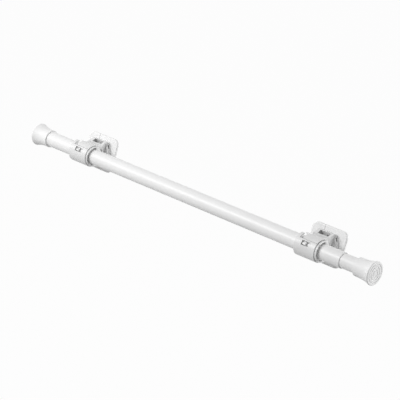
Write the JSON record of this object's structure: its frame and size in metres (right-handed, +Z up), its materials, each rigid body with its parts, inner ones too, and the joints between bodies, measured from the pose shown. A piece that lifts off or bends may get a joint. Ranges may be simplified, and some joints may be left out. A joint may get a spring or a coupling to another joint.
{
  "type": "extendable curtain rod",
  "caption": "White telescopic curtain rod with flared end caps, held by stick-on wall brackets with hinged front jaws; the slimmer tube slides out and locks with a twist.",
  "frame": {"origin": "middle of the left adhesive pad's back face, on the wall", "axes": "+X along the rod towards the sliding tube, +Y into the wall, +Z up"},
  "size_m": [0.6345, 0.0533, 0.0504],
  "materials": {
    "tube_paint": "smooth white powder coat on thin steel tube",
    "bracket_plastic": "satin white moulded plastic",
    "cap_plastic": "soft white plastic",
    "inner_plastic": "plain moulded plastic",
    "pad_foam": "pale foam tape",
    "steel": "plain drawn steel"
  },
  "bodies": {
    "wall_plates": {"left_adhesive_pad": "pad_foam", "left_wall_plate": "bracket_plastic", "right_adhesive_pad": "pad_foam", "right_wall_plate": "bracket_plastic"},
    "holders": {"left_holder": "bracket_plastic", "left_hinge_pin": "steel", "right_holder": "bracket_plastic", "right_hinge_pin": "steel", "outer_tube": "tube_paint", "left_end_cap": "cap_plastic", "left_tube_plug": "inner_plastic"},
    "left_jaw": {"left_front_jaw": "bracket_plastic"},
    "right_jaw": {"right_front_jaw": "bracket_plastic"},
    "lock": {"lock_ring": "inner_plastic"},
    "inner_rod": {"inner_tube": "tube_paint", "right_end_cap": "cap_plastic", "right_tube_plug": "inner_plastic", "lock_stud": "inner_plastic", "lock_washer": "steel", "lock_screw": "steel"}
  },
  "joints": [
    {"name": "lift_off", "type": "slide", "parent": "wall_plates", "child": "holders", "axis": [0, 0, 1], "range_m": [0, 0.036]},
    {"name": "left_jaw_hinge", "type": "hinge", "parent": "holders", "child": "left_jaw", "pos_m": [0.0025, -0.02512, -0.01518], "axis": [1, 0, 0], "range_deg": [0, 100]},
    {"name": "right_jaw_hinge", "type": "hinge", "parent": "holders", "child": "right_jaw", "pos_m": [0.4325, -0.02512, -0.01518], "axis": [1, 0, 0], "range_deg": [0, 100]},
    {"name": "extend", "type": "slide", "parent": "holders", "child": "lock", "axis": [1, 0, 0], "range_m": [-0.02, 0.38]},
    {"name": "twist_lock", "type": "hinge", "parent": "lock", "child": "inner_rod", "pos_m": [0.0115, -0.037, -0.0033], "axis": [1, 0, 0], "range_deg": [0, 90]}
  ]
}
